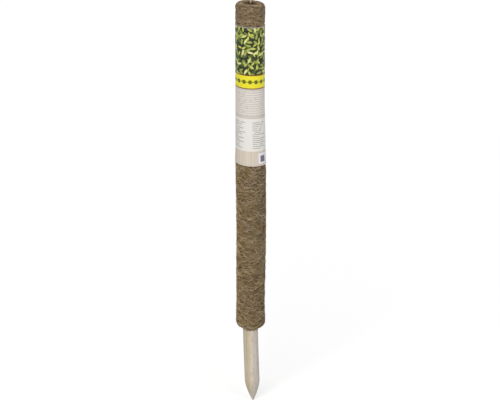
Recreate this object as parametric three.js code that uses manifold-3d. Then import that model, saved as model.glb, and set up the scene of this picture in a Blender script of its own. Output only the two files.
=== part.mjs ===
// A coir moss pole: a pointed wooden stake in two layers of coir, bound with thread, in a paper label.
// Millimetres, +Z up. The origin is on the stake's axis at the soil line, where the coir's lower end rests.

import * as THREE from "three";
import { mergeVertices } from "three/addons/utils/BufferGeometryUtils.js";
import Module from "manifold-3d";

const wasm = await Module();
wasm.setup();

// Stake
const stakeDiameter = 22;
const stakeFreeLength = 116;
const stakePointLength = 30;
const stakePointFullness = 1.45;
const stakeTipDiameter = 1.2;
const stakeTipDrift = 3.7;
const stakeDriftPower = 1.3;
const stakeHeadChamfer = 1;

// Coir, as an inner packing and an outer mat that is tucked in round the stake below, and over the
// stake's head above, where it leaves a dimple
const coirLength = 484;
const dimpleDiameter = 14;
const packingThickness = 4.1;
const matThickness = 5;
const matLowerRounding = 8;
const matUpperRounding = 5;
const matRimRounding = 3;
const matSeamGap = 0.6;

// Binding thread, half sunk in the dip that it draws into the mat
const threadDiameter = 0.7;
const threadSink = 0.5;
const dipWidth = 7;
const dipFloorGap = 0.45;
const threadPitch = 20;
const threadEndMargin = 12;
const threadBendRadius = 1;
const threadTail = 1.2;

// Staples that hold the packing on the stake
const stapleWire = 0.8;
const stapleCrown = 10;
const staplePenetration = 6;
const stapleSink = 0.3;
const stapleEndMargin = 24;

// Label sheet, wrapped once with a glued lap at the back
const labelHeight = 203.5;
const labelTopDrop = 29.5;
const labelThickness = 0.3;
const labelLap = 12;
const labelSkew = 5.5;
const labelGlueThickness = 0.2;
const labelGlueWidth = 8;
const labelGlueMargin = 10;

// Clearances
const layerGap = 0.3;
const cutClearance = 0.3;
const labelClearance = 0.2;
const labelLapGap = 0.15;

// Facets of round forms
const turnSteps = 24;
const threadSides = 6;
const labelTurnSteps = 48;
const labelLapSteps = 6;
const pointSteps = 9;
const bowSteps = 6;
const roundingSteps = 5;
const bendSteps = 4;

// Worked-out sizes
const stakeRadius = stakeDiameter / 2;
const boreRadius = stakeRadius + layerGap;
const packingRadius = boreRadius + packingThickness;
const matInnerRadius = packingRadius + layerGap;
const matRadius = matInnerRadius + matThickness;
const dimpleRadius = dimpleDiameter / 2;
const stakeHead = coirLength - matThickness - layerGap;
const threadRadius = threadDiameter / 2;
const threadPathRadius = matRadius - threadSink + threadRadius;
const labelInnerRadius = Math.max(matRadius, threadPathRadius + threadRadius) + labelClearance;
const labelTop = coirLength - labelTopDrop;
const labelBottom = labelTop - labelHeight;
const labelSeamAngle = THREE.MathUtils.degToRad(75);
const matSeamAngle = THREE.MathUtils.degToRad(90);
const packingSeamAngle = THREE.MathUtils.degToRad(270);
const threadStartAngle = THREE.MathUtils.degToRad(120);

const wood = new THREE.MeshStandardMaterial({ color: 0xc4b8a7, roughness: 0.75, metalness: 0 });
const coir = new THREE.MeshStandardMaterial({ color: 0x75634a, roughness: 0.95, metalness: 0 });
const darkCoir = new THREE.MeshStandardMaterial({ color: 0x5a4a35, roughness: 0.95, metalness: 0 });
const twine = new THREE.MeshStandardMaterial({ color: 0x6a5336, roughness: 0.85, metalness: 0 });
const steel = new THREE.MeshStandardMaterial({ color: 0xb0b2b4, roughness: 0.35, metalness: 1 });
const paper = new THREE.MeshStandardMaterial({ color: 0xd9cfc1, roughness: 0.45, metalness: 0 });
const glue = new THREE.MeshStandardMaterial({ color: 0xe6dfcf, roughness: 0.5, metalness: 0 });

const pole = new THREE.Group();

function addPart(name, geometry, material) {
  const mesh = new THREE.Mesh(geometry, material);
  mesh.name = name;
  pole.add(mesh);
}

// Solids for cutting
function toSolid(geometry) {
  const bare = geometry.clone();
  bare.deleteAttribute("normal");
  bare.deleteAttribute("uv");
  const merged = mergeVertices(bare, 1e-4);
  return new wasm.Manifold(
    new wasm.Mesh({
      numProp: 3,
      vertProperties: new Float32Array(merged.attributes.position.array),
      triVerts: new Uint32Array(merged.index.array),
    }),
  );
}

function toGeometry(solid) {
  const mesh = solid.getMesh();
  const geometry = new THREE.BufferGeometry();
  geometry.setAttribute("position", new THREE.BufferAttribute(new Float32Array(mesh.vertProperties), 3));
  geometry.setIndex(new THREE.BufferAttribute(new Uint32Array(mesh.triVerts), 1));
  geometry.computeVertexNormals();
  return geometry;
}

function cut(geometry, cutters) {
  return toGeometry(cutters.reduce((solid, cutter) => solid.subtract(toSolid(cutter)), toSolid(geometry)));
}

// Skins a row of sections that have equal numbers of points, each right-handed about the way ahead,
// and closes both ends
function skin(sections) {
  const sides = sections[0].length;
  const positions = [];
  const faces = [];
  for (const point of sections.flat()) {
    positions.push(point.x, point.y, point.z);
  }
  for (let row = 0; row + 1 < sections.length; row++) {
    for (let side = 0; side < sides; side++) {
      const a = row * sides + side;
      const b = row * sides + ((side + 1) % sides);
      faces.push(a, b, b + sides, a, b + sides, a + sides);
    }
  }
  const ends = [sections[0], sections[sections.length - 1]];
  for (const [end, section] of ends.entries()) {
    const middle = positions.length / 3;
    const centre = new THREE.Vector3();
    for (const point of section) {
      centre.addScaledVector(point, 1 / sides);
    }
    positions.push(centre.x, centre.y, centre.z);
    const first = end * (sections.length - 1) * sides;
    for (let side = 0; side < sides; side++) {
      const here = first + side;
      const next = first + ((side + 1) % sides);
      faces.push(middle, end ? here : next, end ? next : here);
    }
  }
  const geometry = new THREE.BufferGeometry();
  geometry.setAttribute("position", new THREE.Float32BufferAttribute(positions, 3));
  geometry.setIndex(faces);
  geometry.computeVertexNormals();
  return geometry;
}

// Turns a closed outline of (radius, height) points about the pole's axis
function turned(outline) {
  const geometry = new THREE.LatheGeometry([...outline, outline[0].clone()], turnSteps);
  return geometry.rotateX(Math.PI / 2);
}

function arcPoints(centreRadius, centreHeight, radius, from, to) {
  const points = [];
  for (let step = 0; step <= roundingSteps; step++) {
    const angle = THREE.MathUtils.lerp(from, to, step / roundingSteps);
    const across = centreRadius + radius * Math.cos(angle);
    points.push(new THREE.Vector2(across, centreHeight + radius * Math.sin(angle)));
  }
  return points;
}

// A slit along a layer of coir, where the two edges of the rolled mat meet
function seamSlit(innerRadius, outerRadius, angle) {
  const depth = outerRadius - innerRadius + 2 * layerGap;
  const slit = new THREE.BoxGeometry(depth, matSeamGap, 2 * coirLength);
  slit.translate((innerRadius + outerRadius) / 2, 0, coirLength / 2);
  return slit.rotateZ(angle);
}

// Stake: straight inside the coir, bowed a little below it, with a full rounded point. Its flat head ends
// in the bare face that shows in the dimple
function stakeSection(height, radius) {
  const drop = Math.max(0, -height) / stakeFreeLength;
  const points = [];
  for (let step = 0; step < turnSteps; step++) {
    const angle = (2 * Math.PI * step) / turnSteps;
    const across = stakeTipDrift * drop ** stakeDriftPower + radius * Math.cos(angle);
    points.push(new THREE.Vector3(across, radius * Math.sin(angle), height));
  }
  return points;
}

function stakeGeometry() {
  const tipRadius = stakeTipDiameter / 2;
  const shoulder = stakePointLength - stakeFreeLength;
  const sections = [];
  for (let step = pointSteps; step > 0; step--) {
    const along = step / pointSteps;
    const fullness = 1 - along ** stakePointFullness;
    const radius = tipRadius + (stakeRadius - tipRadius) * fullness;
    sections.push(stakeSection(shoulder - along * stakePointLength, radius));
  }
  for (let step = 0; step <= bowSteps; step++) {
    sections.push(stakeSection(shoulder * (1 - step / bowSteps), stakeRadius));
  }
  sections.push(stakeSection(stakeHead - stakeHeadChamfer, stakeRadius));
  sections.push(stakeSection(stakeHead, stakeRadius - stakeHeadChamfer));
  const bareHead = Math.min(dimpleRadius, stakeRadius - stakeHeadChamfer) - layerGap;
  sections.push(stakeSection(stakeHead, bareHead));
  return skin(sections);
}

// Packing: a plain rolled layer between the tucked ends of the mat, as high as the stake's head
function packingGeometry() {
  const bottom = matThickness + layerGap;
  return turned([
    new THREE.Vector2(boreRadius, bottom),
    new THREE.Vector2(packingRadius, bottom),
    new THREE.Vector2(packingRadius, stakeHead),
    new THREE.Vector2(boreRadius, stakeHead),
  ]);
}

// Mat: rounded at both ends, tucked in round the stake below and over its head above, up to the dimple
function matGeometry() {
  const lower = Math.min(matLowerRounding, matRadius - boreRadius);
  const rim = Math.min(matRimRounding, matThickness);
  const upper = Math.min(matUpperRounding, matRadius - dimpleRadius - rim);
  return turned([
    new THREE.Vector2(boreRadius, 0),
    ...arcPoints(matRadius - lower, lower, lower, -Math.PI / 2, 0),
    ...arcPoints(matRadius - upper, coirLength - upper, upper, 0, Math.PI / 2),
    ...arcPoints(dimpleRadius + rim, coirLength - rim, rim, Math.PI / 2, Math.PI),
    new THREE.Vector2(dimpleRadius, coirLength - matThickness),
    new THREE.Vector2(matInnerRadius, coirLength - matThickness),
    new THREE.Vector2(matInnerRadius, matThickness),
    new THREE.Vector2(boreRadius, matThickness),
  ]);
}

// Thread: a helix up the mat whose two ends turn in and are tucked into the coir
function threadPath(tail) {
  const rise = coirLength - 2 * threadEndMargin;
  const turns = rise / threadPitch;
  const steps = Math.ceil(turns * turnSteps);
  const helix = [];
  for (let step = 0; step <= steps; step++) {
    const angle = threadStartAngle + (2 * Math.PI * turns * step) / steps;
    const height = threadEndMargin + (rise * step) / steps;
    const across = threadPathRadius * Math.cos(angle);
    helix.push(new THREE.Vector3(across, threadPathRadius * Math.sin(angle), height));
  }
  const first = tuck(helix[1], helix[0], tail).reverse();
  const last = tuck(helix[steps - 1], helix[steps], tail);
  return [...first, ...helix, ...last];
}

// The bend and the straight tail that carry a thread from its last point towards the pole's axis
function tuck(before, end, tail) {
  const ahead = end.clone().sub(before).normalize();
  const inward = new THREE.Vector3(-end.x, -end.y, 0).normalize();
  inward.addScaledVector(ahead, -inward.dot(ahead)).normalize();
  const points = [];
  for (let step = 1; step <= bendSteps; step++) {
    const angle = (Math.PI / 2) * (step / bendSteps);
    const point = end.clone().addScaledVector(ahead, threadBendRadius * Math.sin(angle));
    points.push(point.addScaledVector(inward, threadBendRadius * (1 - Math.cos(angle))));
  }
  points.push(points[bendSteps - 1].clone().addScaledVector(inward, tail));
  return points;
}

// Carries a section along a path. A section's points are (along the pole, out from the pole)
function swept(path, section) {
  const up = new THREE.Vector3(0, 0, 1);
  const sections = path.map((point, index) => {
    const back = path[Math.max(0, index - 1)];
    const front = path[Math.min(path.length - 1, index + 1)];
    const ahead = front.clone().sub(back).normalize();
    const out = ahead.clone().cross(up).normalize();
    return section.map(({ x, y }) => point.clone().addScaledVector(up, x).addScaledVector(out, y));
  });
  return skin(sections);
}

function threadSection() {
  const points = [];
  for (let side = 0; side < threadSides; side++) {
    const angle = (2 * Math.PI * side) / threadSides;
    points.push(new THREE.Vector2(threadRadius * Math.cos(angle), threadRadius * Math.sin(angle)));
  }
  return points;
}

// The wedge that the taut thread presses out of the mat, open above the thread
function dipSection() {
  const open = threadRadius + cutClearance;
  return [
    new THREE.Vector2(0, -threadRadius - dipFloorGap),
    new THREE.Vector2(dipWidth / 2, open),
    new THREE.Vector2(-dipWidth / 2, open),
  ];
}

// The least clear distance between stretches of a thread that lie half a turn or more apart
function leastGapToItself(path, diameter) {
  const apart = Math.round(turnSteps / 2);
  let least = Infinity;
  for (let one = 0; one < path.length; one++) {
    for (let other = one + apart; other < path.length; other++) {
      least = Math.min(least, path[one].distanceTo(path[other]));
    }
  }
  return least - diameter;
}

// Staple: a flat U whose crown is sunk in the packing and whose chisel-cut legs reach into the stake
function stapleGeometry(grow, reach, turn, height) {
  const outer = packingRadius - stapleSink + reach;
  const inner = packingRadius - stapleSink - stapleWire - grow;
  const tip = stakeRadius - staplePenetration - grow;
  const half = stapleCrown / 2 + grow;
  const legInside = stapleCrown / 2 - stapleWire - grow;
  const outline = new THREE.Shape();
  outline.moveTo(outer, -half);
  outline.lineTo(outer, half);
  outline.lineTo(tip + stapleWire, half);
  outline.lineTo(tip, legInside);
  outline.lineTo(inner, legInside);
  outline.lineTo(inner, -legInside);
  outline.lineTo(tip, -legInside);
  outline.lineTo(tip + stapleWire, -half);
  const depth = stapleWire + 2 * grow;
  const geometry = new THREE.ExtrudeGeometry(outline, { depth, bevelEnabled: false });
  geometry.translate(0, 0, -depth / 2);
  geometry.rotateX(Math.PI / 2);
  geometry.rotateZ(turn);
  return geometry.translate(0, 0, height);
}

const stapleHeights = { lower: stapleEndMargin, upper: coirLength - stapleEndMargin };
const stapleTurns = { left: Math.PI, right: 0 };
const staples = [];
const stapleCutters = [];
for (const [level, height] of Object.entries(stapleHeights)) {
  for (const [side, turn] of Object.entries(stapleTurns)) {
    staples.push([`staple_${level}_${side}`, stapleGeometry(0, 0, turn, height)]);
    stapleCutters.push(stapleGeometry(cutClearance, stapleSink + layerGap, turn, height));
  }
}

// A curved sheet about the pole's axis, with its corners given by radius and height along the wrap
function wrapped(angles, innerAt, outerAt, bottomAt, topAt) {
  const sections = angles.map((angle) => {
    const across = Math.cos(labelSeamAngle + angle);
    const deep = Math.sin(labelSeamAngle + angle);
    const inner = innerAt(angle);
    const outer = outerAt(angle);
    const corner = (radius, height) => new THREE.Vector3(radius * across, radius * deep, height);
    return [
      corner(inner, bottomAt(angle)),
      corner(inner, topAt(angle)),
      corner(outer, topAt(angle)),
      corner(outer, bottomAt(angle)),
    ];
  });
  return skin(sections);
}

// Label: one turn of paper a little askew, whose far edge rises over its near edge and is glued there
const labelRise = labelThickness + labelGlueThickness + 2 * labelLapGap;
const labelLapAngle = labelLap / labelInnerRadius;
const labelRampAngle = labelLapAngle / 2;

function labelRiseAt(angle) {
  const along = (angle - 2 * Math.PI + labelRampAngle) / labelRampAngle;
  return labelRise * THREE.MathUtils.smoothstep(along, 0, 1);
}

function labelShiftAt(angle) {
  return labelSkew * (0.5 - angle / (2 * Math.PI));
}

function labelGeometry() {
  const angles = [];
  for (let step = 0; step < labelTurnSteps; step++) {
    angles.push((2 * Math.PI * step) / labelTurnSteps);
  }
  for (let step = 0; step <= labelLapSteps; step++) {
    angles.push(2 * Math.PI + (labelLapAngle * step) / labelLapSteps);
  }
  return wrapped(
    angles,
    (angle) => labelInnerRadius + labelRiseAt(angle),
    (angle) => labelInnerRadius + labelRiseAt(angle) + labelThickness,
    (angle) => labelBottom + labelShiftAt(angle),
    (angle) => labelTop + labelShiftAt(angle),
  );
}

function labelGlueGeometry() {
  const inner = labelInnerRadius + labelThickness + labelLapGap;
  const width = labelGlueWidth / labelInnerRadius;
  const start = (labelLapAngle - width) / 2;
  const angles = [];
  for (let step = 0; step <= labelLapSteps; step++) {
    angles.push(start + (width * step) / labelLapSteps);
  }
  return wrapped(
    angles,
    () => inner,
    () => inner + labelGlueThickness,
    (angle) => labelBottom + labelGlueMargin + labelShiftAt(angle),
    (angle) => labelTop - labelGlueMargin + labelShiftAt(angle),
  );
}

const thread = threadPath(threadTail);
const threadDip = swept(threadPath(threadTail + cutClearance), dipSection());
const packingSlit = seamSlit(boreRadius, packingRadius, packingSeamAngle);
const matSlit = seamSlit(dimpleRadius, matRadius, matSeamAngle);

addPart("stake", cut(stakeGeometry(), stapleCutters), wood);
addPart("coir_packing", cut(packingGeometry(), [packingSlit, ...stapleCutters]), darkCoir);
addPart("coir_mat", cut(matGeometry(), [matSlit, threadDip]), coir);
addPart("binding_thread", swept(thread, threadSection()), twine);
for (const [name, geometry] of staples) {
  addPart(name, geometry, steel);
}
addPart("label_sheet", labelGeometry(), paper);
addPart("label_glue_strip", labelGlueGeometry(), glue);

console.log(`binding thread: least gap to itself ${leastGapToItself(thread, threadDiameter).toFixed(2)} mm`);

export default pole;
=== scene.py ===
# Looks of a coir moss pole: loose fibres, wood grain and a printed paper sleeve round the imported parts.
# Metres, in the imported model's frame: +Z up the pole, -Y towards the viewer.
# Angles go round the pole from +X: 270 degrees faces the viewer, and 180 is on the left in the picture.

import math

import bpy
import numpy as np
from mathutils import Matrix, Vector


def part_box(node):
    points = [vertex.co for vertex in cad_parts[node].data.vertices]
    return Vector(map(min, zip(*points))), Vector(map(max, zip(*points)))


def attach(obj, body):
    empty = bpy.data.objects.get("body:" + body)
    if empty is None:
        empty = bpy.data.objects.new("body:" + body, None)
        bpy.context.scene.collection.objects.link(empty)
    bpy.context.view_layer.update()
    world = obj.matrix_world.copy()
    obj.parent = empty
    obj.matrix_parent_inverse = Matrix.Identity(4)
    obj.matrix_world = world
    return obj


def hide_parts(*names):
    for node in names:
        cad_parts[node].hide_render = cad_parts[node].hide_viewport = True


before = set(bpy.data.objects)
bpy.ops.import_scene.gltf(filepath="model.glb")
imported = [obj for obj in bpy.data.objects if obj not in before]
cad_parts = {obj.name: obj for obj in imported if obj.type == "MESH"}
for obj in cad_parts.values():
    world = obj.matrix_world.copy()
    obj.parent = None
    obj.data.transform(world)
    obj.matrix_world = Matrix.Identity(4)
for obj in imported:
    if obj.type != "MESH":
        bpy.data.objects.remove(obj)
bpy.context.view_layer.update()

MM = 0.001
TURN = 2 * math.pi
BAKE_MAP = "OFBake"
UNROLLED_MAP = "unrolled"
SHADE = "shade"

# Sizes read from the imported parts
mat_low, mat_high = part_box("coir_mat")
stake_low, stake_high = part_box("stake")
packing_low, packing_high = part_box("coir_packing")
thread_low, thread_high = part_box("binding_thread")
label_low, label_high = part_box("label_sheet")
coir_radius = -mat_low.x
coir_length = mat_high.z
packing_radius = -packing_low.x
stake_radius = -stake_low.x
stake_head = stake_high.z
stake_tip = stake_low.z
label_outer = -label_low.x

# Stake
tip_drift = 3.7 * MM
drift_power = 1.3
point_length = 32.5 * MM
point_fullness = 1.55
tip_radius = 0.6 * MM
least_radius = 0.3 * MM
head_chamfer = 1 * MM
stake_slimming = 0.2 * MM
grain_depth = 0.035 * MM
grain_limit = 2
tooling_depth = 0.02 * MM
tooling_pitch = 1.6 * MM
wrapped_from = 6 * MM
shoulder = stake_tip + point_length

# Coir mat and packing. A hump has its size, middle and width, and a slope its size, start and end.
layer_gap = 0.3 * MM
mat_thickness = 5 * MM
packing_inset = 0.24 * MM
packing_lump = 0.12 * MM
lower_rounding = 9 * MM
upper_rounding = 5.6 * MM
rim_rounding = 3 * MM
dimple_radius = 7 * MM
fibre_depth = 0.6 * MM
lump_height = 0.06 * MM
crown_slant = 1.1 * MM
slant_reach = 20 * MM
foot_sag = 2.6 * MM
foot_sag_side = math.radians(268)
foot_sag_change = 0.4
collar_inner = 0.5 * MM
collar_outer = 3.2 * MM
seam_angle = TURN / 4
seam_groove = (0.7 * MM, 0, 1.4 * MM)

# Swelling of the coir below the label, under it and above it
foot_slimming = 0.05 * MM
free_taper = 1.1 * MM
waist_hump = (0.3 * MM, 48 * MM, 25 * MM)
foot_hump = (0.5 * MM, 14 * MM, 12 * MM)
press_depth = 0.4 * MM
press_start = 3.2 * MM
press_end = 0.8 * MM
groove_depth = 0.5 * MM
groove_width = 1.5 * MM
crown_swelling = 0.25 * MM
crown_start = 1 * MM
crown_end = 6 * MM

# Sideways wander of the coir and its label
middle_lean = (1.05 * MM, 155 * MM, 80 * MM)
foot_lean = (0.5 * MM, 0, 9 * MM)
upper_lean = (0.65 * MM, 270 * MM, 350 * MM)
crown_lean = (0.4 * MM, 450 * MM, 475 * MM)

# Binding thread
thread_pitch = 20 * MM
thread_margin = 12 * MM
thread_fade = 10 * MM
thread_start = TURN / 3
thread_radius = 0.35 * MM
thread_lift = 0.3 * MM
twist_depth = 0.12
dip_depth = 0.8 * MM
dip_width = 2.6 * MM
dip_bridging = 0.8

# Label sleeve
label_thickness = 0.3 * MM
label_height = 203.5 * MM
label_skew = 5.5 * MM
label_lap = 12 * MM
label_rise = 0.8 * MM
label_seam = math.radians(75)
label_front = math.radians(270) - label_seam
label_crease_hump = (1.3 * MM, math.radians(180) - label_seam, math.radians(40))
crease_power = 4
label_flare = 0.85 * MM
label_flare_height = 30 * MM
flare_power = 1.5
label_wave = 0.1 * MM
label_hug = (0.4 * MM, 275 * MM, 335 * MM)
label_waist = (0.3 * MM, 345 * MM, 32 * MM)
glued_reach = 0.5
loose_reach = 1.1
label_inner = label_outer - label_thickness
label_bottom = (label_low.z + label_high.z - label_height) / 2
label_top = label_bottom + label_height
lap_angle = label_lap / label_inner

# Counts of rows, columns and sides in the meshes
rounding_steps = 12
outline_samples = 4000
stake_columns = 80
point_rows = 50
shaft_rows = 90
wrapped_rows = 30
felt_columns = 168
felt_rows = 430
packing_columns = 72
packing_rows = 60
thread_sides = 8
thread_turn_steps = 60
twist_steps = 9
label_columns = 190
label_rows = 80
strand_steps = 8
strand_sides = 3

# Camera, at the photograph's viewing angle
camera_distance = 4.0
camera_height = 1.561
camera_pitch = math.radians(18.879)
camera_side = -0.7 * MM
camera_lens = 213.1
camera_sensor = 36


def add_camera():
    data = bpy.data.cameras.new("camera")
    data.sensor_width = camera_sensor
    data.lens = camera_lens
    camera = bpy.data.objects.new("camera", data)
    camera.location = (camera_side, -camera_distance, camera_height)
    camera.rotation_euler = (TURN / 4 - camera_pitch, 0, 0)
    bpy.context.scene.collection.objects.link(camera)
    bpy.context.scene.camera = camera


# Curves
def smooth_step(value, low, high):
    share = np.clip((value - low) / (high - low), 0, 1)
    return share * share * (3 - 2 * share)


def slope(value, size, start, end):
    return size * smooth_step(value, start, end)


def hump(value, size, middle, width):
    return size * np.exp(-(((value - middle) / width) ** 2))


class Ripples:
    """A smooth random surface over (angle, distance) that closes on itself round the pole."""

    def __init__(self, seed, count, turns, waves):
        rng = np.random.default_rng(seed)
        self.turns = rng.integers(turns[0], turns[1] + 1, count) * rng.choice([-1, 1], count)
        self.waves = TURN / rng.uniform(*waves, count)
        self.phases = rng.uniform(0, TURN, count)

    def at(self, angle, distance):
        total = 0
        for turns, wave, phase in zip(self.turns, self.waves, self.phases):
            total = total + np.cos(turns * angle + wave * distance + phase)
        return total / math.sqrt(len(self.turns))


coir_lumps = Ripples(seed=3, count=28, turns=(3, 16), waves=(7 * MM, 30 * MM))
coir_swirls = Ripples(seed=5, count=20, turns=(2, 9), waves=(14 * MM, 50 * MM))
stake_grain = Ripples(seed=11, count=26, turns=(6, 30), waves=(60 * MM, 400 * MM))
label_waves = Ripples(seed=31, count=8, turns=(1, 4), waves=(120 * MM, 400 * MM))


# Meshes
def circle(count):
    """Even angles round a full turn."""
    return TURN * np.arange(count) / count


def joined(*values):
    """Rows of one number from each value, with the values stretched to one shape."""
    return np.stack(np.broadcast_arrays(*values), axis=-1)


def round_points(radius, angle, height, shift=0.0):
    """Points round the pole's axis, shifted sideways."""
    return joined(radius * np.cos(angle) + shift, radius * np.sin(angle), height)


def unit(vectors):
    """The same directions with a length of 1."""
    smallest = 1e-12
    return vectors / (np.linalg.norm(vectors, axis=-1, keepdims=True) + smallest)


def rings(out, across, sides):
    """Rings of directions about a path, from its outward and crosswise ones."""
    around = circle(sides)[:, None]
    return np.cos(around) * out[..., None, :] + np.sin(around) * across[..., None, :]


def mesh_from(name, points, quads, triangles=()):
    """A smooth-shaded mesh with four-sided and three-sided faces."""
    mesh = bpy.data.meshes.new(name)
    faces = np.reshape(quads, (-1, 4)).tolist() + np.reshape(triangles, (-1, 3)).tolist()
    mesh.from_pydata(np.reshape(points, (-1, 3)).tolist(), [], faces, shade_flat=False)
    mesh.validate()
    return mesh


def cell_corners(grid):
    """The four corners of each cell of a grid, in their order round it."""
    return np.stack([grid[:-1, :-1], grid[:-1, 1:], grid[1:, 1:], grid[1:, :-1]], axis=2)


def ring_quads(rows, columns, closed_rows=False):
    """Faces of a grid whose columns close on themselves, and its rows too if wanted."""
    number = np.arange(rows * columns).reshape(rows, columns)
    number = np.pad(number, [(0, int(closed_rows)), (0, 1)], mode="wrap")
    return cell_corners(number).reshape(-1, 4)


def tube_mesh(name, tube, ends):
    """A tube from rings of points, closed by a fan round the middle point of each end."""
    rows, columns, _ = tube.shape
    column = np.arange(columns)
    ahead = np.roll(column, -1)
    top = (rows - 1) * columns
    first = joined(ahead, column, rows * columns)
    last = joined(top + column, top + ahead, rows * columns + 1)
    points = np.concatenate([tube.reshape(-1, 3), ends])
    return mesh_from(name, points, ring_quads(rows, columns), np.concatenate([first, last]))


def add_map(mesh, name, places):
    """A UV map with one place for each corner of each face."""
    layer = mesh.uv_layers.new(name=name)
    layer.uv.foreach_set("vector", np.asarray(places, np.float32).ravel())


def ring_places(across, along):
    """Map places for ring_quads: across for each column edge, along for each row."""
    return cell_corners(joined(*np.meshgrid(across, along))).reshape(-1, 2)


def fan_places(columns, across, heights, radius):
    """Map places for a tube's fans: two round patches, one above the other."""
    angles = circle(columns)
    fans = []
    for height in heights:
        here = joined(across + radius * np.cos(angles), height + radius * np.sin(angles))
        ahead = np.roll(here, -1, axis=0)
        centre = np.broadcast_to([across, height], here.shape)
        fans.append([here, ahead, centre] if fans else [ahead, here, centre])
    return np.concatenate([np.stack(fan, axis=1) for fan in fans]).reshape(-1, 2)


def add_object(mesh, materials):
    for material in materials:
        mesh.materials.append(material)
    piece = bpy.data.objects.new(mesh.name, mesh)
    bpy.context.scene.collection.objects.link(piece)
    return piece


def add_piece(mesh, materials, node=None, body="pole"):
    """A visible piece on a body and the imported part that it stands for."""
    piece = add_object(mesh, materials)
    if node is not None:
        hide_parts(node)
    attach(piece, body)
    return piece


# Shader values, joined by sums and comparisons. Scales of noise are in cells to the metre.
class Value:
    """An output of a shader node."""

    def __init__(self, socket):
        self.socket = socket

    def also(self, output):
        """Another output of the same node."""
        return Value(self.socket.node.outputs[output])

    def __add__(self, other):
        return maths("ADD", self, other)

    def __sub__(self, other):
        return maths("SUBTRACT", self, other)

    def __mul__(self, other):
        return maths("MULTIPLY", self, other)

    def __truediv__(self, other):
        return maths("DIVIDE", self, other)

    def __gt__(self, other):
        return maths("GREATER_THAN", self, other)

    def __lt__(self, other):
        return maths("LESS_THAN", self, other)


def feed(socket, value):
    if isinstance(value, Value):
        socket.id_data.links.new(value.socket, socket)
    else:
        socket.default_value = value


def source(tree, kind, output, inputs=None, **settings):
    """An output of a new node, whose inputs are fed by name or number."""
    node = tree.nodes.new("ShaderNode" + kind)
    for setting, value in settings.items():
        setattr(node, setting, value)
    for name, value in (inputs or {}).items():
        feed(node.inputs[name], value)
    return Value(node.outputs[output])


def derived(kind, output, inputs, **settings):
    """An output of a new node, in the tree that the values on its inputs come from."""
    tree = next(value.socket.id_data for value in inputs.values() if isinstance(value, Value))
    return source(tree, kind, output, inputs, **settings)


def maths(operation, *values):
    return derived("Math", 0, dict(enumerate(values)), operation=operation)


def mixed(share, one, other):
    """Colour one where share is 0, and the other where it is 1."""
    return derived("Mix", "Result", {"Factor": share, "A": one, "B": other}, data_type="RGBA")


def noise(place, scale, detail=2.0, distortion=0.0):
    inputs = {"Vector": place, "Scale": scale, "Detail": detail, "Distortion": distortion}
    return derived("TexNoise", "Fac", inputs)


def stretched(place, scale, offset=(0, 0, 0), turn=0.0):
    inputs = {"Vector": place, "Scale": scale, "Location": offset, "Rotation": (0, 0, turn)}
    return derived("Mapping", "Vector", inputs)


def ramp(share, stops):
    shown = derived("ValToRGB", "Color", {"Fac": share})
    elements = shown.socket.node.color_ramp.elements
    while len(elements) < len(stops):
        elements.new(0.5)
    for element, (place, tone) in zip(elements, stops):
        element.position = place
        element.color = tone
    return shown


def spread(value, low, high):
    """Value stretched so that low becomes 0 and high becomes 1."""
    return derived("MapRange", "Result", {"Value": value, "From Min": low, "From Max": high})


def within(value, low, high):
    """1 where value lies between low and high, and 0 elsewhere."""
    return (value > low) * (value < high)


def object_place(tree):
    return source(tree, "TexCoord", "Object")


def map_place(tree):
    return source(tree, "UVMap", "UV", uv_map=UNROLLED_MAP)


def split_place(place):
    across = derived("SeparateXYZ", "X", {0: place})
    return across, across.also("Y"), across.also("Z")


def colour(red, green, blue):
    """A linear colour from screen values between 0 and 255, by the sRGB formula."""
    shares = np.array([red, green, blue]) / 255
    linear = np.where(shares > 0.04045, ((shares + 0.055) / 1.055) ** 2.4, shares / 12.92)
    return (*linear, 1.0)


def new_material(name):
    material = bpy.data.materials.new(name)
    material.use_nodes = True
    tree = material.node_tree
    return material, tree, tree.nodes["Principled BSDF"]


def set_finish(shader, base, roughness, specular=0.5):
    feed(shader.inputs["Base Color"], base)
    shader.inputs["Roughness"].default_value = roughness
    shader.inputs["Specular IOR Level"].default_value = specular


def add_bump(shader, height, strength, distance):
    inputs = {"Height": height, "Strength": strength, "Distance": distance}
    feed(shader.inputs["Normal"], derived("Bump", "Normal", inputs))


speck_depth = 0.1 * MM
thread_stops = [(0.35, colour(66, 50, 30)), (0.65, colour(112, 90, 58))]
paper_stops = [(0.3, colour(226, 222, 214)), (0.7, colour(240, 237, 231))]
wire_stops = [(0.35, colour(140, 142, 145)), (0.65, colour(188, 190, 193))]
glue_stops = [(0.3, colour(222, 212, 190)), (0.7, colour(238, 230, 212))]


def speckled_material(name, stops, scale, roughness, detail=2.0, specular=0.5, metallic=0.0, bump=0.0):
    """A plain finish with fine specks in its colour, and in its surface where bump is over 0."""
    material, tree, shader = new_material(name)
    specks = noise(object_place(tree), scale, detail)
    set_finish(shader, ramp(specks, stops), roughness, specular)
    shader.inputs["Metallic"].default_value = metallic
    if bump > 0:
        add_bump(shader, specks, bump, speck_depth)
    return material


# Coir surface: its outline, and the places on it that fibres and thread follow
def arc(centre_radius, centre_height, radius, start, end):
    angles = np.radians(np.linspace(start, end, rounding_steps))
    return list(zip(centre_radius + radius * np.cos(angles), centre_height + radius * np.sin(angles)))


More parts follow.
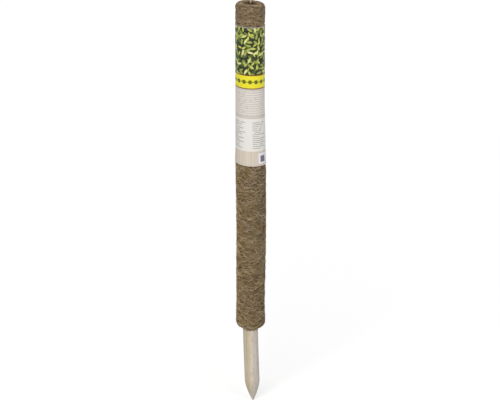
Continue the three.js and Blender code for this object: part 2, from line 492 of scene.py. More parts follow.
outline = np.array(
    [(stake_radius + layer_gap, 0)]
    + arc(coir_radius - lower_rounding, lower_rounding, lower_rounding, -90, 0)
    + arc(coir_radius - upper_rounding, coir_length - upper_rounding, upper_rounding, 0, 90)
    + arc(dimple_radius + rim_rounding, coir_length - rim_rounding, rim_rounding, 90, 180)
    + [(dimple_radius, coir_length - mat_thickness)]
)
outline_steps = np.concatenate([[0], np.cumsum(np.hypot(*np.diff(outline, axis=0).T))])
outline_end = outline_steps[-1]
side_offset = outline_steps[rounding_steps] - outline[rounding_steps, 1]
fine_distances = np.linspace(0, outline_end, outline_samples)
fine_radii = np.interp(fine_distances, outline_steps, outline[:, 0])
fine_heights = np.interp(fine_distances, outline_steps, outline[:, 1])
fine_out = np.gradient(fine_heights, fine_distances)
fine_up = -np.gradient(fine_radii, fine_distances)


def label_shift(around):
    """How far the label lies up or down, wrapped a little askew, by the angle from its seam."""
    return label_skew * (0.5 - around / TURN)


def label_crease(around):
    """How far the label's lower edge is pushed up on its left side."""
    return hump(around, *label_crease_hump)


def label_looseness(around):
    """0 at the label's glued lap, and 1 well away from it."""
    from_lap = np.minimum(np.abs(around), np.abs(around - TURN - lap_angle))
    return smooth_step(from_lap, glued_reach, loose_reach)


def label_draw(height):
    """How far the sleeve is drawn in along its upper part, and more at its waist."""
    return slope(height, *label_hug) + hump(height, *label_waist)


def fullness(angle, height):
    """How far the coir's fibre base lies inside or outside the mat's plain radius."""
    around = (angle - label_seam) % TURN
    taper = free_taper * height / label_bottom - foot_slimming
    free = taper - hump(height, *waist_hump) + hump(height, *foot_hump)
    lower_edge = label_bottom + label_shift(around) + label_crease(around)
    covered = smooth_step(height, lower_edge - press_start, lower_edge - press_end)
    groove = hump(height, groove_depth, lower_edge - press_end, groove_width)
    upper_edge = label_top + label_shift(around)
    above = smooth_step(height, upper_edge - crown_start, upper_edge + crown_end)
    pressed = -press_depth - label_draw(height)
    upper = pressed * (1 - above) + crown_swelling * above
    return free * (1 - covered) + covered * upper - groove - fibre_depth


def lean(height):
    """The soft wander of the coir and its label: right at the middle and foot, left higher up."""
    lower = hump(height, *middle_lean) + hump(height, *foot_lean)
    return lower - slope(height, *upper_lean) + slope(height, *crown_lean)


def thread_distance(angle, height):
    """The height above or below the nearest turn of the binding thread."""
    turns = (height - thread_margin) / thread_pitch - (angle - thread_start) / TURN
    return (turns - np.round(turns)) * thread_pitch


def dip_at(angle, height):
    """How far the thread and the mat's seam draw the coir in."""
    dip = hump(thread_distance(angle, height), dip_depth, 0, dip_width)
    bound = smooth_step(height, thread_margin - thread_fade, thread_margin)
    bound = bound * (1 - smooth_step(height, thread_high.z, thread_high.z + thread_fade))
    from_seam = np.abs((angle - seam_angle + math.pi) % TURN - math.pi) * coir_radius
    return dip * bound + hump(from_seam, *seam_groove)


def coir_place(angle, distance, lift, bridging=0.0):
    """Points and outward directions on the coir, lifted off its base, and bridging a share of each dip."""
    fine = (fine_radii, fine_heights, fine_out, fine_up)
    radius, height, out, up = (np.interp(distance, fine_distances, values) for values in fine)
    size = np.hypot(out, up)
    out = out / size
    up = up / size
    side = np.clip(out, 0, 1)
    dip = (1 - bridging) * dip_at(angle, height)
    relief = lump_height * coir_lumps.at(angle, distance)
    raised = lift + relief + side * (fullness(angle, height) - dip) - (1 - side) * fibre_depth
    bent = lean(height) * smooth_step(radius, stake_radius, coir_radius)
    radius = np.maximum(radius + out * raised, stake_radius * (height < stake_head))
    x = radius * np.cos(angle) + bent
    slant = slope(height, crown_slant, coir_length - slant_reach, coir_length)
    collar = 1 - smooth_step(radius, stake_radius + collar_inner, stake_radius + collar_outer)
    sag = foot_sag * (1 + foot_sag_change * np.cos(angle - foot_sag_side))
    sag = sag * collar * (height < lower_rounding)
    z = height + up * raised - slant * x / coir_radius - sag
    return round_points(radius, angle, z, bent), round_points(out, angle, up)


# Materials of the coir
# The darkest felt tone: the coir's own deep tone, kept dark as painted shade in the gaps between loose fibres
deep_coir_and_gap_shade = colour(66, 51, 32)
dark_coir = colour(103, 85, 58)
brown_coir = colour(163, 140, 104)
tan_coir = colour(200, 177, 140)
pale_coir = colour(228, 209, 178)
felt_and_gap_shade_stops = [(0.38, deep_coir_and_gap_shade), (0.52, dark_coir), (0.68, brown_coir)]
fibre_stops = [(0.0, dark_coir), (0.35, brown_coir), (0.7, tan_coir), (1.0, pale_coir)]
felt_curl_scale = 110
felt_curl = (12 * MM, 12 * MM, 0)
streak_share = 0.6
mottle_scale = 900
mottle_change = 1.4
mottle_offset = -0.67
hue_patch_scale = 75
hue_change = 0.6
# Painted light and shade across the coir: how much greyer and darker its right side is drawn than its left
painted_side_greying = 0.12
painted_side_shade = 0.11
crown_fading = 0.05
crown_redness = 0.007


def felt_material():
    """The felted fibres under the loose ones: fine curly streaks, light on dark, whose dark tone is also
    painted shade in the gaps between the loose fibres.
    """
    material, tree, shader = new_material("coir_felt")
    place = map_place(tree)
    warp = derived("TexNoise", "Color", {"Vector": place, "Scale": felt_curl_scale})
    bent = derived("VectorMath", 0, {0: warp, 1: felt_curl, 2: place}, operation="MULTIPLY_ADD")
    wide = noise(stretched(bent, (0.28, 1, 1)), scale=900, detail=3)
    fine = noise(stretched(bent, (0.2, 1, 1), offset=(0.3, 0.1, 0), turn=0.5), scale=2200)
    streaks = wide * streak_share + fine * (1 - streak_share)
    set_finish(shader, ramp(streaks, felt_and_gap_shade_stops), roughness=0.9, specular=0.2)
    add_bump(shader, streaks, strength=0.8, distance=0.4 * MM)
    return material


def fibre_material(name):
    """Mottled coir fibres, each with its own tone and redder at the crown, with painted light and shade
    fading out towards the crown: paler and yellower on the left, darker and greyer on the right.
    """
    material, tree, shader = new_material(name)
    place = object_place(tree)
    side, _, height = split_place(place)
    below = spread(height, label_top, label_bottom)
    # Painted light and shade by side: the coir's left drawn lighter and yellower, its right darker and
    # greyer, fading out towards the crown
    painted_shade_side = below * (side / coir_radius)
    tone = source(tree, "Attribute", "Fac", attribute_name=SHADE)
    mottle = noise(place, mottle_scale) * mottle_change + mottle_offset
    plain = ramp(tone + mottle - painted_shade_side * painted_side_shade, fibre_stops)
    patches = noise(place, hue_patch_scale) * hue_change + (1 - hue_change / 2)
    strength = patches - painted_shade_side * painted_side_greying + (below - 1) * crown_fading
    hue = (below - 1) * crown_redness + 0.5
    faded = derived("HueSaturation", "Color", {"Hue": hue, "Saturation": strength, "Color": plain})
    set_finish(shader, faded, roughness=0.65, specular=0.3)
    return material


# Strands of loose fibre, laid along curly paths in small locks
strand_lengths = (8 * MM, 15 * MM)
strand_thickness = (0.26 * MM, 0.46 * MM)
strand_slant = 0.35
strands_per_lock = 2
lock_width = 0.3 * MM
lift_scatter = 0.05 * MM
tone_scatter = 0.16
weave_lengths = (9 * MM, 20 * MM)
weave_share = 0.6
weave_height = 0.08 * MM
curl_lengths = (8 * MM, 17 * MM)
curl_swings = (0.15, 0.9)
swirl_swing = 0.32
end_depth = 0.5 * MM
end_power = 6
tip_thinning = 0.6
tip_power = 4
lowest_path = 1.5 * MM
highest_path = outline_end - 0.5 * MM
area_share = np.cumsum(fine_radii) / np.sum(fine_radii)

# Steps round the pole and up it, as shares of the whole, that spread any number of places evenly
even_steps = (0.7548776662, 0.5698402910)

# Strips of the bake map, one for each strand
strip_columns = 8
strip_margin = 0.08


def per_strand(values):
    return np.asarray(values)[:, None]


def along_strand(values):
    """One value for each strand, repeated for each step along it."""
    return np.tile(per_strand(values), strand_steps)


def lock_paths(rng, count):
    """Paths that follow the coir's swirls: place along each, heading, distance up, radius and angle."""
    length = rng.uniform(*strand_lengths, count)
    curl = TURN / rng.uniform(*curl_lengths, count)
    swing = rng.uniform(*curl_swings, count)
    phase = rng.uniform(0, TURN, count)
    slant = rng.normal(0, strand_slant, count)
    across, up = ((rng.uniform() + step * np.arange(count)) % 1 for step in even_steps)
    angle = TURN * across
    distance = np.interp(up, area_share, fine_distances)
    step = length / (strand_steps - 1)
    path = []
    for number in range(strand_steps):
        along = step * number - length / 2
        # A path turns back where it would leave the coir's outline
        distance = lowest_path + np.abs(distance - lowest_path)
        distance = highest_path - np.abs(highest_path - distance)
        radius = np.interp(distance, fine_distances, fine_radii)
        heading = slant + swing * np.sin(curl * along + phase) + swirl_swing * coir_swirls.at(angle, distance)
        path.append((along, heading, distance, radius, angle))
        angle = angle + np.cos(heading) * step / radius
        distance = distance + np.sin(heading) * step
    return [np.stack(values, axis=1) for values in zip(*path)]


def lock_strands(rng, count, lifts):
    """Strands side by side in each lock, which weave across it and dive into the felt at their ends."""
    paths = [np.repeat(path, strands_per_lock, axis=0) for path in lock_paths(rng, count)]
    along, heading, distance, radius, angle = paths
    strands = len(along)
    weave = per_strand(rng.uniform(*weave_lengths, strands))
    phase = per_strand(rng.uniform(0, TURN, strands))
    swing = TURN * along / weave + phase
    side = per_strand(rng.normal(0, lock_width, strands)) + weave_share * lock_width * np.sin(swing)
    angle = angle - side * np.sin(heading) / radius
    distance = np.clip(distance + side * np.cos(heading), 0, outline_end)
    lift = np.repeat(rng.uniform(*lifts, count), strands_per_lock) + rng.normal(0, lift_scatter, strands)
    ends = np.abs(2 * along / (along[:, [-1]] - along[:, [0]])) ** end_power
    lift = (per_strand(lift) + weave_height * np.cos(swing)) * (1 - ends) - end_depth * ends
    return coir_place(angle, distance, lift, dip_bridging)


def strand_mesh(name, points, facing, radii, shades):
    """Thin closed tubes along rows of points, with a shade for each point."""
    count = len(points)
    ahead = unit(np.gradient(points, axis=1))
    across = unit(np.cross(ahead, facing))
    ring = rings(np.cross(across, ahead), across, strand_sides)
    taper = 1 - tip_thinning * np.abs(np.linspace(-1, 1, strand_steps)) ** tip_power
    thick = per_strand(radii) * taper
    corners = points[:, :, None] + thick[:, :, None, None] * ring
    first = np.arange(count)[:, None, None] * strand_steps * strand_sides
    quads = ring_quads(strand_steps, strand_sides) + first
    start_cap = np.arange(strand_sides)[::-1]
    end_cap = (strand_steps - 1) * strand_sides + np.arange(strand_sides)
    mesh = mesh_from(name, corners, quads, np.stack([start_cap, end_cap]) + first)
    tone = mesh.attributes.new(SHADE, "FLOAT", "POINT")
    tone.data.foreach_set("value", np.repeat(shades.ravel(), strand_sides).astype(np.float32))
    add_map(mesh, BAKE_MAP, strand_places(count))
    return mesh


def strand_places(count):
    """Map places of strand_mesh: a grid of strips, one for each strand."""
    along = np.linspace(strip_margin, 1 - strip_margin, strand_steps)
    across = np.linspace(strip_margin, 1 - strip_margin, strand_sides + 1)
    strip = ring_places(across, along)[:, ::-1]
    caps = np.full((2 * strand_sides, 2), strip_margin)
    number = np.arange(count)
    corner = joined(number % strip_columns, number // strip_columns)[:, None]
    size = [strip_columns, math.ceil(count / strip_columns)]
    return np.concatenate([((places + corner) / size).reshape(-1, 2) for places in (strip, caps)])


# Stake, and its places on the bake map: the shaft, and a round patch for each end
shaft_map_width = 0.9
shaft_map_margin = 0.02
end_map_across = 0.95
end_map_heights = (0.25, 0.75)
end_map_radius = 0.04


def stake_centre(height):
    """How far the stake's middle drifts to the right, towards its tip."""
    return tip_drift * np.clip(height / stake_tip, 0, 1) ** drift_power


def stake_piece():
    point = np.linspace(stake_tip, shoulder, point_rows, endpoint=False)
    shaft = np.linspace(shoulder, wrapped_from, shaft_rows, endpoint=False)
    wrapped = np.linspace(wrapped_from, stake_head - head_chamfer, wrapped_rows)
    heights = np.concatenate([point, shaft, wrapped, [stake_head]])
    pointed = np.clip((shoulder - heights) / point_length, 0, 1)
    radii = tip_radius + (stake_radius - tip_radius) * (1 - pointed**point_fullness)
    radii[-1] = stake_radius - head_chamfer
    angle, height = np.meshgrid(circle(stake_columns), heights)
    grain = np.clip(stake_grain.at(angle, height), -grain_limit, grain_limit)
    tooling = np.sin(TURN * height / tooling_pitch + angle) * (height < shoulder)
    sunk = stake_slimming + grain_depth * grain + tooling_depth * tooling
    radius = np.maximum(radii[:, None] - sunk, least_radius)
    sides = round_points(radius, angle, height, stake_centre(height))
    ends = [[stake_centre(stake_tip), 0, stake_tip], [0, 0, stake_head]]
    mesh = tube_mesh("stake_wood", sides, ends)
    across = np.linspace(0, shaft_map_width, stake_columns + 1)
    along = np.linspace(shaft_map_margin, 1 - shaft_map_margin, len(heights))
    patches = fan_places(stake_columns, end_map_across, end_map_heights, end_map_radius)
    add_map(mesh, BAKE_MAP, np.concatenate([ring_places(across, along), patches]))
    add_piece(mesh, [wood_material()], "stake")


# Wood, with its tones from the stake's left to its right: a warm streak, with painted shade that greys and
# darkens both edges
wood_and_edge_shade_stops = [
    (0.05, colour(204, 196, 180)),
    (0.2, colour(218, 208, 184)),
    (0.34, colour(210, 193, 164)),
    (0.5, colour(220, 207, 188)),
    (0.7, colour(216, 207, 196)),
    (0.95, colour(202, 198, 190)),
]
grain_tone = colour(172, 151, 118)
hair_tone = colour(154, 135, 107)
fleck_tone = colour(176, 162, 138)
shaved_tone = colour(160, 150, 138)
shaved_share = 0.22
shaved_start = stake_tip + 1.2 * point_length
shaved_end = stake_tip + 0.5 * point_length
band_shift = 0.3
wood_middle = 0.35


def along_grain(place, scale, squeeze, detail=2.0, offset=(0, 0, 0), distortion=0.0):
    """Noise that is drawn out along the stake, by its squeeze in that direction."""
    return noise(stretched(place, (1, 1, squeeze), offset), scale, detail, distortion)


def wood_material():
    """Bare softwood: a warm streak on the left, painted shade greying both edges, bands and fine grain lines.
    """
    material, tree, shader = new_material("bare_softwood")
    place = object_place(tree)
    side, _, height = split_place(place)
    bands = along_grain(place, scale=120, squeeze=0.035, detail=1, offset=(0.11, 0.02, 0))
    lines = along_grain(place, scale=900, squeeze=0.016, detail=3, distortion=0.3)
    hairs = along_grain(place, scale=2600, squeeze=0.03, offset=(0, 0.5, 0))
    flecks = along_grain(place, scale=520, squeeze=0.3, offset=(0.4, 0, 0.2))
    # Tone by place across the stake from left to right: both edges drawn greyer and darker as painted shade
    across = side / (2 * stake_radius) + wood_middle
    shown = ramp(bands * band_shift + across, wood_and_edge_shade_stops)
    shown = mixed(spread(lines, low=0.5, high=0.76), shown, grain_tone)
    shown = mixed(spread(hairs, low=0.6, high=0.82), shown, hair_tone)
    shown = mixed(spread(flecks, low=0.5, high=1.0), shown, fleck_tone)
    shaved = spread(height, shaved_start, shaved_end)
    shown = mixed(shaved * shaved_share, shown, shaved_tone)
    set_finish(shader, shown, roughness=0.72, specular=0.3)
    add_bump(shader, lines, strength=0.25, distance=0.2 * MM)
    return material


# Coir mat and packing
felt_map_margin = 0.005


def mat_piece():
    """The mat's felt: its outer surface, closed by three rings inside it."""
    angles = circle(felt_columns)
    distances = np.linspace(0, outline_end, felt_rows)
    distance, angle = np.meshgrid(distances, angles, indexing="ij")
    outer, _ = coir_place(angle, distance, 0)
    inner_radius = packing_radius + layer_gap
    inner = [
        round_points(inner_radius, angles, coir_length - mat_thickness),
        round_points(inner_radius, angles, mat_thickness),
        round_points(stake_radius + layer_gap, angles, mat_thickness),
    ]
    points = np.concatenate([outer, inner])
    rows = len(points)
    mesh = mesh_from("coir_felt", points, ring_quads(rows, felt_columns, closed_rows=True))
    across = np.linspace(0, TURN * coir_radius, felt_columns + 1)
    along = np.concatenate([distances, outline_end + np.arange(1, len(inner) + 2) * MM])
    add_map(mesh, UNROLLED_MAP, ring_places(across, along))
    add_map(mesh, BAKE_MAP, felt_places(rows))
    add_piece(mesh, [felt_material()], "coir_mat")


def felt_places(rows):
    """Bake map of the felt: its lower half on the left and its upper half on the right."""
    half = rows // 2
    across = np.linspace(felt_map_margin, 0.5 - felt_map_margin, felt_columns + 1)
    lower = ring_places(across, np.linspace(0, 1, half + 1))
    upper = ring_places(across + 0.5, np.linspace(0, 1, rows - half + 1))
    return np.concatenate([lower, upper])


def packing_piece():
    """The rolled inner layer, hidden between the stake and the mat."""
    heights = np.linspace(packing_low.z, packing_high.z, packing_rows)
    height, angle = np.meshgrid(heights, circle(packing_columns), indexing="ij")
    radius = packing_radius - packing_inset + packing_lump * coir_lumps.at(angle, height)
    outer = round_points(radius, angle, height)
    inner = round_points(stake_radius + layer_gap, angle, height[::-1])
    points = np.concatenate([outer, inner])
    mesh = mesh_from("coir_packing_roll", points, ring_quads(len(points), packing_columns, closed_rows=True))
    add_piece(mesh, [fibre_material("packed_coir")], "coir_packing")


# Loose fibres, by layer
full_layer = 2260
outer_layer = 2100
# Painted shade in the dimple at the coir's top: how much darker its strands are drawn
dimple_painted_shade = 0.7

# Tuft in the dimple: its strands rise from its front foot and lean back
tuft_strands = 10
tuft_half_width = 0.9 * MM
tuft_bend = 0.7 * MM
tuft_front = 2.5 * MM
tuft_depth = 4 * MM
tuft_scatter = 0.4 * MM
tuft_heights = (7 * MM, 8.5 * MM)
tuft_foot_tone = 0.3
tuft_paling = (2.1, 0.35, 0.7)

# Strands over the label's upper edge, by their places round the pole
edge_places = np.radians([246, 262, 287, 20, 75, 130, 190])
edge_spans = (3 * MM, 6 * MM)
edge_drops = (3 * MM, 6 * MM)
edge_start = 6 * MM
edge_wave = 0.03
edge_foot = 0.5 * MM
edge_rise = (0.1, 0.5)
edge_gap = 0.35 * MM
edge_tones = (0.5, 0.9)


def in_dimple(points):
    """1 deep in the dimple at the coir's top, and 0 on the rest of the coir: where the strands get painted
    shade.
    """
    radius = np.hypot(points[..., 0], points[..., 1])
    inward = 1 - smooth_step(radius, dimple_radius, dimple_radius + rim_rounding)
    return inward * smooth_step(points[..., 2], coir_length - 2 * mat_thickness, coir_length - mat_thickness)


def fibre_piece(name, seed, locks, lifts, tones, material, extra=None):
    """A layer of locks, by their lifts off the felt and their tones, with any extra strands."""
    rng = np.random.default_rng(seed)
    points, facing = lock_strands(rng, locks, lifts)
    shades = along_strand(np.repeat(rng.uniform(*tones, locks), strands_per_lock))
    if extra is not None:
        pairs = zip((points, facing, shades), extra(rng))
        points, facing, shades = (np.concatenate(pair) for pair in pairs)
    strands = len(points)
    radii = rng.uniform(*strand_thickness, strands) / 2
    # Strands deep in the dimple are darkened: painted shade in the hollow
    shades = shades + per_strand(rng.normal(0, tone_scatter, strands)) - dimple_painted_shade * in_dimple(points)
    add_piece(strand_mesh(name, points, facing, radii, shades), [material])


def top_tuft(rng):
    """A pale tuft that stands up out of the dimple, against its back."""
    share = np.linspace(0, 1, strand_steps)[None, :]
    side = per_strand(np.linspace(-tuft_half_width, tuft_half_width, tuft_strands))
    x = side * (0.5 + 0.5 * share) + tuft_bend * (1 - share) ** 2
    scatter = per_strand(rng.uniform(-tuft_scatter, tuft_scatter, tuft_strands))
    y = tuft_front + tuft_depth * share + scatter
    reach = per_strand(rng.uniform(*tuft_heights, tuft_strands))
    z = coir_length - mat_thickness + reach * share
    points = joined(x, y, z)
    facing = np.broadcast_to([0.0, -1.0, 0.0], points.shape)
    tones = tuft_foot_tone + slope(share, *tuft_paling)
    return points, facing, np.repeat(tones, tuft_strands, axis=0)


def edge_strands(rng):
    """Strands that spring from the coir and lie over the label's upper edge."""
    strands = len(edge_places)
    share = np.linspace(0, 1, strand_steps)[None, :]
    spans = rng.choice([-1, 1], strands) * rng.uniform(*edge_spans, strands)
    slant = per_strand(spans / label_outer)
    # The first strand always runs to the right as it drops
    slant[0] = -abs(slant[0])
    wave = edge_wave * np.sin(TURN * share)
    angle = per_strand(edge_places) - slant * (share - 0.5) + wave
    drop = per_strand(rng.uniform(*edge_drops, strands))
    height = label_top + edge_start - (edge_start + drop) * share
    base = np.interp(height + side_offset, fine_distances, fine_radii) + fullness(angle, height)
    drawn = label_looseness((angle - label_seam) % TURN) * label_draw(height)
    over = label_outer - drawn + edge_gap - base
    lift = edge_foot + slope(share, over - edge_foot, *edge_rise)
    points, facing = coir_place(angle, height + side_offset, lift, bridging=1.0)
    return points, facing, along_strand(rng.uniform(*edge_tones, strands))


def fibre_pieces():
    """Five layers, each further out and paler than the one below it: painted shade darkens the deeper layers
    under the outer ones.
    """
    material = fibre_material("coir_fibre")
    # The tone ranges rise layer by layer: painted shade on the deeper fibres under the outer ones
    fibre_piece("coir_fibres_deep", 21, full_layer, (0.0, 0.2 * MM), (0.1, 0.35), material)
    fibre_piece("coir_fibres_lower", 22, full_layer, (0.1 * MM, 0.35 * MM), (0.13, 0.53), material)
    fibre_piece("coir_fibres_middle", 25, full_layer, (0.25 * MM, 0.5 * MM), (0.15, 0.66), material)
    upper_lifts = (0.35 * MM, 0.6 * MM)
    fibre_piece("coir_fibres_upper", 23, full_layer, upper_lifts, (0.17, 0.75), material, edge_strands)
    outer_lifts = (0.5 * MM, 0.75 * MM)
    fibre_piece("coir_fibres_outer", 24, outer_layer, outer_lifts, (0.22, 0.86), material, top_tuft)


# Binding thread
def thread_piece():
    """One twisted thread, wound round the mat from end to end."""
    turns = round((thread_high.z - thread_low.z - 2 * thread_radius) / thread_pitch)
    steps = turns * thread_turn_steps
    share = np.linspace(0, 1, steps)
    angle = thread_start + TURN * turns * share
    height = thread_margin + turns * thread_pitch * share
    points, facing = coir_place(angle, height + side_offset, thread_lift)
    across = np.cross(unit(np.gradient(points, axis=0)), facing)
    twist = TURN * np.arange(steps)[:, None] / twist_steps
    swell = 1 + twist_depth * np.cos(2 * (circle(thread_sides) - twist))
    tube = points[:, None] + thread_radius * swell[:, :, None] * rings(facing, across, thread_sides)
    mesh = tube_mesh("binding_thread_wound", tube, points[[0, -1]])
    material = speckled_material("twisted_thread", thread_stops, scale=900, roughness=0.8, specular=0.25)
    add_piece(mesh, [material], "binding_thread")


# Label sleeve, and its places on the bake map: printed side, bare side and cut edge
print_map_width = 0.7
bare_map_start = 0.72
bare_map_width = 0.2
cut_map_start = 0.95
cut_map_width = 0.02


def label_points(share, angle):
    """Points of the sleeve's bare and printed sides, by height share and angle from its seam."""
    crease = label_crease(angle) * (1 - share) ** crease_power
    height = label_bottom + label_height * share + label_shift(angle) + crease
    loose = label_looseness(angle)
    rise = slope(angle, label_rise, TURN - lap_angle / 2, TURN)
    unflared = smooth_step(label_height * share, 0, label_flare_height)
    flare = label_flare * loose * (1 - unflared) ** flare_power
    ease = label_wave * loose * np.clip(label_waves.at(angle, height), -1, 1)
    radius = label_inner + rise + flare + ease - loose * label_draw(height)
    turn = label_seam + angle
    return [round_points(radius + out, turn, height, lean(height)) for out in (0, label_thickness)]


def label_faces():
    """Faces of the sleeve's printed side, of its bare side and of its cut edge."""
    number = np.arange(label_rows * label_columns).reshape(label_rows, label_columns)
    sheet = cell_corners(number).reshape(-1, 4)
    bare_side = sheet[:, [0, 3, 2, 1]]
    print_side = sheet + number.size
    rim = np.concatenate([number[0], number[1:, -1], number[-1, -2::-1], number[-2:0:-1, 0]])
    ahead = np.roll(rim, -1)
    edge = joined(rim, ahead, ahead + number.size, rim + number.size)
    return print_side, bare_side, edge


def add_label_maps(mesh, share, angle, faces):
    """The flat print, in metres from the label's front and foot, and the bake map."""
    print_side, bare_side, edge = faces
    places = np.tile(joined(angle, share).reshape(-1, 2), (2, 1))
    flat = (places - [label_front, 0]) * [label_outer, label_height]
    add_map(mesh, UNROLLED_MAP, flat[np.concatenate(faces)])
    even = places / [angle.max(), 1]
    shown = even[print_side] * [print_map_width, 1]
    hidden = even[bare_side] * [bare_map_width, 1] + [bare_map_start, 0]
    across = cut_map_start + cut_map_width * np.array([0, 0, 1, 1])
    along = (np.arange(len(edge))[:, None] + np.array([0, 1, 1, 0])) / len(edge)
    add_map(mesh, BAKE_MAP, np.concatenate([shown, hidden, joined(across, along)]))


def label_piece():
    shares = np.linspace(0, 1, label_rows)
    angles = np.linspace(0, TURN + lap_angle, label_columns)
    share, angle = np.meshgrid(shares, angles, indexing="ij")
    faces = label_faces()
    mesh = mesh_from("label_sleeve", label_points(share, angle), np.concatenate(faces))
    add_label_maps(mesh, share, angle, faces)
    paper = speckled_material("bare_paper", paper_stops, scale=700, roughness=0.6, detail=3)
    materials = [print_material(), paper]
    piece = add_piece(mesh, materials, "label_sheet", body="label")
    bare = np.arange(len(mesh.polygons)) >= len(faces[0])
    mesh.polygons.foreach_set("material_index", bare.astype(np.int32))


# Print on the label, by height above its lower edge and by place along the wrap from its front
trim_margin = 1.2 * MM
panel_low = 22 * MM
panel_high = 70 * MM
row_pitch = 3.3 * MM
row_low = panel_high + 5 * MM
row_left = -66 * MM
row_width = 130 * MM
row_shortest = 0.9
rule_pitch = 2.9 * MM
rule_line = 0.42 * rule_pitch
rule_width = 25 * MM
rule_shortest = 0.5
rule_ink = 0.6
rule_columns = (-58 * MM, -30 * MM, 3 * MM, 34 * MM)
text_low = 9 * rule_pitch
text_high = 23 * rule_pitch
dash_length = 2.5 * MM
dash_breaks = 0.07
band_low = 115 * MM
band_high = 133 * MM
band_line = 1.4 * MM
row_high = band_low - 4 * MM
bead_height = (band_low + band_high) / 2
bead_pitch = 9 * MM
bead_radius = 3 * MM
small_bead_radius = 1 * MM
mark_sides = (11.5 * MM, 36 * MM)
mark_heights = (3.2 * MM, 18.7 * MM)
block_sides = (14.8 * MM, 23.8 * MM)
block_heights = (5.9 * MM, 15.2 * MM)

# Leaves, in shares of their cells, and their layers: cell, offset, slimness, two tones and rarity
leaf_length = 0.55
leaf_scatter = 0.8
rib_width = 0.025
rib_strength = 0.5
leaf_ground_stops = [(0.35, colour(14, 19, 4)), (0.7, colour(54, 64, 24))]
leaf_layers = [
    (11 * MM, (0.2, 0.7, 0), 0.24, colour(52, 66, 26), colour(104, 118, 58), 0.0),
    (8.5 * MM, (3.1, 5.3, 0), 0.2, colour(104, 120, 50), colour(168, 176, 90), 0.1),
    (7 * MM, (7.7, 2.9, 0), 0.2, colour(146, 158, 62), colour(214, 214, 104), 0.4),
    (9 * MM, (5.4, 9.1, 0), 0.17, colour(206, 208, 104), colour(236, 234, 164), 0.65),
]


def leaves(place, cell, offset, slim):
    """Scattered pointed leaves: where they are, two draws for each, and the distance from a midrib."""
    scaled = stretched(place, (1 / cell, 1 / cell, 1), offset)
    inputs = {"Vector": scaled, "Scale": 1, "Randomness": leaf_scatter}
    middle = derived("TexVoronoi", "Position", inputs, voronoi_dimensions="2D")
    away = derived("VectorMath", 0, {0: scaled, 1: middle}, operation="SUBTRACT")
    draw = derived("SeparateColor", "Red", {0: middle.also("Color")})
    turned = derived("VectorRotate", 0, {"Vector": away, "Angle": draw * TURN}, rotation_type="Z_AXIS")
    along, across, _ = split_place(turned)
    from_rib = maths("ABSOLUTE", across)
    half_width = maths("POWER", along / leaf_length, 2.0) * -slim + slim
    return half_width > from_rib, draw.also("Green"), draw.also("Blue"), from_rib


def foliage(place):
    """A leaf pattern in several greens on a dark ground."""
    shown = ramp(noise(place, scale=90), leaf_ground_stops)
    for cell, offset, slim, deep, light, rarity in leaf_layers:
        mask, tone, chance, from_rib = leaves(place, cell, offset, slim)
        leaf = mixed((from_rib < rib_width) * rib_strength, mixed(tone, deep, light), light)
        shown = mixed(mask * (chance > rarity), shown, leaf)
    return shown


def white_noise(dimensions, inputs):
    return derived("TexWhiteNoise", "Value", inputs, noise_dimensions=dimensions)


def ruled_lines(across, up, left, width, shortest, pitch, line):
    """Plain rules of uneven length in one column, with a few breaks."""
    count = maths("FLOOR", up / pitch)
    ink = up - count * pitch < line
    draw = white_noise("1D", {"W": count + left / MM})
    length = maths("SNAP", draw * (width * (1 - shortest)) + width * shortest, dash_length)
    reach = across - left
    dash = maths("FLOOR", reach / dash_length)
    chance = white_noise("2D", {"Vector": derived("CombineXYZ", 0, {"X": dash, "Y": count})})
    return ink * within(reach, 0.0, length) * (chance > dash_breaks)


def dots(across, up, radius, offset):
    """A row of plain round dots along the band."""
    along = maths("WRAP", across + offset, bead_pitch / 2, -bead_pitch / 2)
    above = up - bead_height
    return along * along + above * above < radius**2


def ground_print(place, across, up):
    """The beige ground, with a pale margin below that is a painted highlight on the lower edge, and rows of
    faint pale rules above.
    """
    tint = noise(stretched(place, (1, 0.02, 1)), scale=500, detail=1)
    lower = ramp(tint, [(0.35, colour(205, 193, 175)), (0.65, colour(222, 211, 197))])
    upper = ramp(tint, [(0.35, colour(204, 194, 184)), (0.65, colour(211, 203, 194))])
    shown = mixed(up > panel_high, lower, upper)
    # A pale strip along the lower edge: painted highlight where the paper's edge catches the light
    shown = mixed(up < trim_margin, shown, colour(230, 220, 205))
    rules = ruled_lines(across, up, row_left, row_width, row_shortest, row_pitch, row_pitch / 2)
    return mixed(rules * within(up, row_low, row_high), shown, colour(228, 221, 215))


def panel_print(across, up, shown):
    """The pale panel with columns of grey rules, and the mark with its plain block."""
    shown = mixed(within(up, panel_low, panel_high), shown, colour(233, 230, 224))
    for left in rule_columns:
        rules = ruled_lines(across, up, left, rule_width, rule_shortest, rule_pitch, rule_line)
        shown = mixed(rules * within(up, text_low, text_high) * rule_ink, shown, colour(120, 120, 118))
    mark = within(across, *mark_sides) * within(up, *mark_heights)
    shown = mixed(mark, shown, colour(238, 235, 239))
    block = within(across, *block_sides) * within(up, *block_heights)
    return mixed(block, shown, colour(116, 110, 126))


def band_print(across, up, shown):
    """The yellow band, with a row of dots and a line along each edge."""
    large = dots(across, up, bead_radius, 0.0)
    small = dots(across, up, small_bead_radius, bead_pitch / 2)
    yellow = mixed(maths("MAXIMUM", large, small), colour(239, 227, 48), colour(98, 110, 20))
    shown = mixed(within(up, band_low, band_high), shown, yellow)
    for low, tone in ((band_low - band_line, colour(126, 78, 40)), (band_high, colour(120, 56, 24))):
        shown = mixed(within(up, low, low + band_line), shown, tone)
    return shown


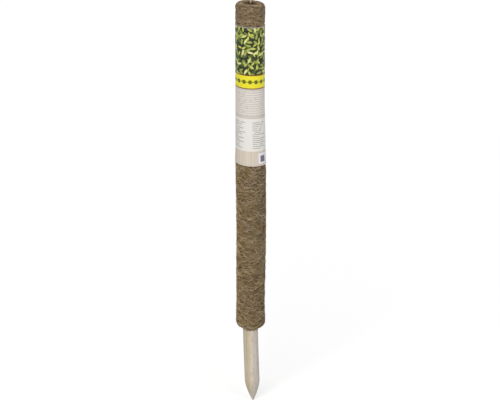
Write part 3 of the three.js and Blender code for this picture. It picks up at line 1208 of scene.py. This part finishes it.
def print_material():
    """The label's print: leaves, a yellow band, a beige ground and a pale panel."""
    material, tree, shader = new_material("label_print")
    place = map_place(tree)
    across, up, _ = split_place(place)
    shown = ground_print(place, across, up)
    shown = panel_print(across, up, shown)
    shown = mixed(up > band_high, shown, foliage(place))
    shown = band_print(across, up, shown)
    shown = mixed(up > label_height - trim_margin, shown, colour(170, 164, 156))
    set_finish(shader, shown, roughness=0.45, specular=0.3)
    return material


# Carried-over parts
def dress_node(name, material):
    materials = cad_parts[name].data.materials
    materials.clear()
    materials.append(material)


def carried_parts():
    wire = speckled_material("galvanised_wire", wire_stops, scale=1500, roughness=0.42, metallic=1)
    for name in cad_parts:
        if name.startswith("staple_"):
            dress_node(name, wire)
    glue = speckled_material("set_glue", glue_stops, scale=240, roughness=0.45, bump=0.3)
    dress_node("label_glue_strip", glue)


# Stage. The floor glows more where the lamps reach it less, so that it looks white all over.
floor_size = 40.0
floor_colour = (0.8, 0.8, 0.8, 1)
glow_near = 0.46
glow_far = 0.63
glow_reach = 2.0
world_colour = (1, 1, 1, 1)
world_light = 0.44
softbox_size = 1.6


def show_background(tree, lighting, seen, output):
    """Lights the object with one shader, and shows another to the camera, in gloss and through glass."""
    camera_ray = source(tree, "LightPath", "Is Camera Ray")
    shown = maths("MAXIMUM", camera_ray, camera_ray.also("Is Glossy Ray"))
    shown = maths("MAXIMUM", shown, camera_ray.also("Is Transmission Ray"))
    choice = derived("MixShader", 0, {0: shown, 1: lighting, 2: seen})
    feed(tree.nodes[output].inputs["Surface"], choice)


def floor_material():
    material, tree, shader = new_material("pale_floor")
    tree.nodes.remove(shader)
    plain = source(tree, "BsdfDiffuse", 0, {"Color": floor_colour})
    away = derived("VectorMath", "Value", {0: object_place(tree)}, operation="LENGTH")
    strength = spread(away, 0.0, glow_reach) * (glow_far - glow_near) + glow_near
    glow = derived("Emission", 0, {"Strength": strength})
    show_background(tree, plain, derived("AddShader", 0, {0: plain, 1: glow}), "Material Output")
    return material


def add_floor():
    corners = round_points(floor_size / math.sqrt(2), circle(4) + TURN / 8, stake_tip)
    mesh = mesh_from("floor", corners, [0, 1, 2, 3])
    add_object(mesh, [floor_material()])


def add_world():
    world = bpy.data.worlds.new("studio")
    world.use_nodes = True
    tree = world.node_tree
    light = tree.nodes["Background"]
    light.inputs["Color"].default_value = world_colour
    light.inputs["Strength"].default_value = world_light
    white = source(tree, "Background", 0, {"Color": world_colour})
    show_background(tree, Value(light.outputs[0]), white, "World Output")
    bpy.context.scene.world = world


def add_softbox(name, place, power, tint):
    """A square lamp that faces the pole's middle."""
    data = bpy.data.lights.new(name, "AREA")
    data.size = softbox_size
    data.energy = power
    data.color = tint
    lamp = bpy.data.objects.new(name, data)
    lamp.location = place
    direction = Vector((0, 0, (coir_length + stake_tip) / 2)) - Vector(place)
    lamp.rotation_euler = direction.to_track_quat("-Z", "Y").to_euler()
    bpy.context.scene.collection.objects.link(lamp)


def add_stage():
    add_floor()
    add_world()
    add_softbox("key_light", place=(-0.9, -2.6, 1.9), power=41, tint=(1.0, 0.985, 0.96))
    add_softbox("fill_light", place=(1.5, -2.2, 1.3), power=16.5, tint=(0.95, 0.975, 1.0))
    bpy.context.scene.view_settings.view_transform = "Standard"


add_camera()
stake_piece()
packing_piece()
mat_piece()
fibre_pieces()
thread_piece()
label_piece()
carried_parts()
add_stage()
